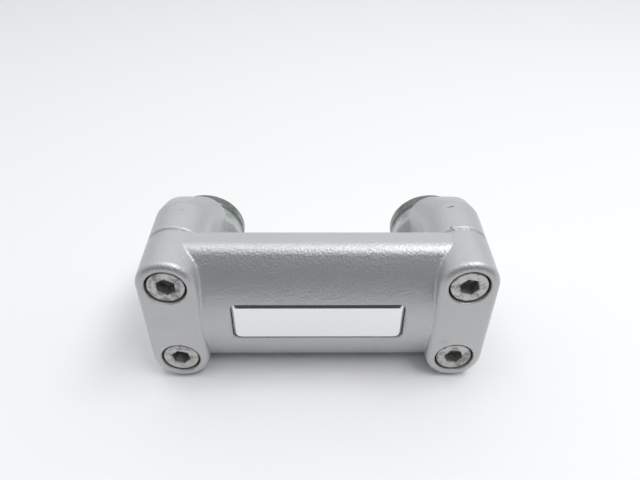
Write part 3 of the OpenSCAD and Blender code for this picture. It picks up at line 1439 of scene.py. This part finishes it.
@dataclass(frozen=True)
class Lamp:
    """A rectangular soft lamp that looks at the origin.

    Attributes:
        name: Its name.
        place: Its middle in millimetres.
        size: Its two sides in millimetres.
        watts: Its power.
    """

    name: str
    place: tuple[float, float, float]
    size: tuple[float, float]
    watts: float

    def build(self) -> None:
        """Puts the lamp in its place and turns it."""
        data = bpy.data.lights.new(self.name, "AREA")
        data.shape = "RECTANGLE"
        data.size, data.size_y = (side * MM for side in self.size)
        data.energy = self.watts
        lamp = bpy.data.objects.new(self.name, data)
        lamp.location = Vector(self.place) * MM
        lamp.rotation_euler = (-lamp.location).to_track_quat("-Z", "Y").to_euler()
        bpy.context.scene.collection.objects.link(lamp)


@dataclass
class Studio:
    """Camera, floor, lamps and the world round them.

    Attributes:
        camera_mm: Place of the camera in millimetres.
        camera_deg: Its turns about x, y and z in degrees.
        lens: Focal length in millimetres.
        sensor: Width of the sensor in millimetres.
        floor_z: Height of the floor in millimetres.
        floor_reach: How far the floor reaches from the origin, in millimetres.
        front_y: Where the dim front of the room begins on the floor, in millimetres.
        paper: Linear colour of the floor.
        room: Linear colour of the dim front of the room.
        sky: Linear colour of the world overhead.
        wall: Factor on it near the horizon.
        wall_z: Upward part of a direction where that factor gives way to 1.
        dim_z: Upward part of a direction where the dim front gives way to the sky.
        dim_y: Part along Y of a direction where the dim front gives way to the sky.
        lamps: The lamps.
    """

    camera_mm: tuple[float, float, float] = (-0.957, -154.186, 144.441)
    camera_deg: tuple[float, float, float] = (51.8494, -0.2988, -0.4053)
    lens: float = 31.05
    sensor: float = 36.0
    floor_z: float = -28.75
    floor_reach: float = 6000.0
    front_y: float = -110.0
    paper: tuple[float, float, float] = (0.94, 0.94, 0.945)
    room: tuple[float, float, float] = (0.07, 0.07, 0.07)
    sky: tuple[float, float, float] = (0.80, 0.81, 0.825)
    wall: float = 0.6
    wall_z: tuple[float, float] = (0.1, 0.5)
    dim_z: tuple[float, float] = (0.55, 0.97)
    dim_y: tuple[float, float] = (-0.55, 0.1)
    lamps: tuple[Lamp, ...] = (
        Lamp("top_lamp", (420, -130, 920), (760, 300), 4.2),
        Lamp("back_lamp", (-200, 60, 930), (300, 300), 0.95),
    )

    def camera(self) -> None:
        """The camera, where the photograph was taken from."""
        data = bpy.data.cameras.new("camera")
        data.lens = self.lens
        data.sensor_width = self.sensor
        data.clip_start, data.clip_end = 0.01, 20.0
        camera = bpy.data.objects.new("camera", data)
        camera.location = tuple(c * MM for c in self.camera_mm)
        camera.rotation_euler = tuple(math.radians(a) for a in self.camera_deg)
        bpy.context.scene.collection.objects.link(camera)
        bpy.context.scene.camera = camera

    def floor(self) -> None:
        """A pale flat floor. Only the camera sees it pale in front, where the dim room begins."""
        reach = np.array([-1, 1]) * self.floor_reach
        corners = np.stack(np.broadcast_arrays(reach[:, None], reach, self.floor_z), axis=-1)
        mesh = bpy.data.meshes.new("floor")
        mesh.from_pydata((corners.reshape(-1, 3) * MM).tolist(), [], [[0, 2, 3, 1]])
        floor = bpy.data.objects.new("floor", mesh)
        bpy.context.scene.collection.objects.link(floor)
        n = SurfaceNodes("floor_paper")
        part = n.add("ShaderNodeSeparateXYZ")
        n.join(n.place, part.inputs[0])
        seen = n.add("ShaderNodeLightPath").outputs["Is Camera Ray"]
        room = n.ramp(part.outputs["Y"], self.front_y * 2 * MM, self.front_y * MM, 1.0, 0.0)
        room = n.math("MULTIPLY", room, n.math("SUBTRACT", 1.0, seen))
        n.join(n.blend(room, self.paper, self.room), n.shader.inputs["Base Color"])
        n.shader.inputs["Roughness"].default_value = 1.0
        n.shader.inputs["Specular IOR Level"].default_value = 0.0
        mesh.materials.append(n.material)

    def light(self) -> None:
        """Soft light from above, and a pale world that is dim in front, where the room is."""
        world = bpy.data.worlds.new("world")
        bpy.context.scene.world = world
        world.use_nodes = True
        n = Nodes(world.node_tree)
        way = n.add("ShaderNodeSeparateXYZ")
        n.join(n.add("ShaderNodeTexCoord").outputs["Generated"], way.inputs[0])
        low = n.ramp(way.outputs["Z"], *self.dim_z, 1.0, 0.0)
        front = n.ramp(way.outputs["Y"], *self.dim_y, 1.0, 0.0)
        soft = n.add("ShaderNodeBackground")
        wall = n.ramp(way.outputs["Z"], *self.wall_z, self.wall, 1.0)
        pale = n.add("ShaderNodeVectorMath", operation="SCALE")
        n.join(self.sky, pale.inputs[0])
        n.join(wall, pale.inputs["Scale"])
        dim = n.math("MULTIPLY", low, front)
        n.join(n.blend(dim, pale.outputs[0], self.room), soft.inputs["Color"])
        white = n.add("ShaderNodeBackground")
        mix = n.add("ShaderNodeMixShader")
        white.inputs["Color"].default_value = (1, 1, 1, 1)
        n.join(n.add("ShaderNodeLightPath").outputs["Is Camera Ray"], mix.inputs[0])
        n.join(soft.outputs[0], mix.inputs[1])
        n.join(white.outputs[0], mix.inputs[2])
        n.join(mix.outputs[0], n.add("ShaderNodeOutputWorld").inputs[0])
        for lamp in self.lamps:
            lamp.build()


def main() -> None:
    """Loads the frame, builds every sub-assembly in order and lights the scene."""
    logging.basicConfig(level=logging.INFO, format="%(message)s")
    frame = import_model()
    log.info("dressing %d CAD nodes", len(frame["nodes"]))
    bpy.context.scene.view_settings.view_transform = "Standard"
    studio = Studio()
    studio.camera()
    layout = Layout()
    badge = Badge(layout)
    Bridge(layout).build(badge)
    badge.build()
    badge.build_pad()
    zinc = WornZinc("zinc_screw").material()
    turns = {
        (Side.LEFT, True): 0.0,
        (Side.RIGHT, True): 17.0,
        (Side.LEFT, False): 12.0,
        (Side.RIGHT, False): 24.0,
    }
    for (side, upper), turn in turns.items():
        SocketScrew(layout, side, upper, turn).build(zinc)
    plating = DarkPlating("plated_ring").material()
    for side in Side:
        Riser(layout, side).build()
        BaseRing(layout, side).build(plating)
    studio.floor()
    studio.light()
    log.info("boxes written")


if __name__ == "__main__":
    main()
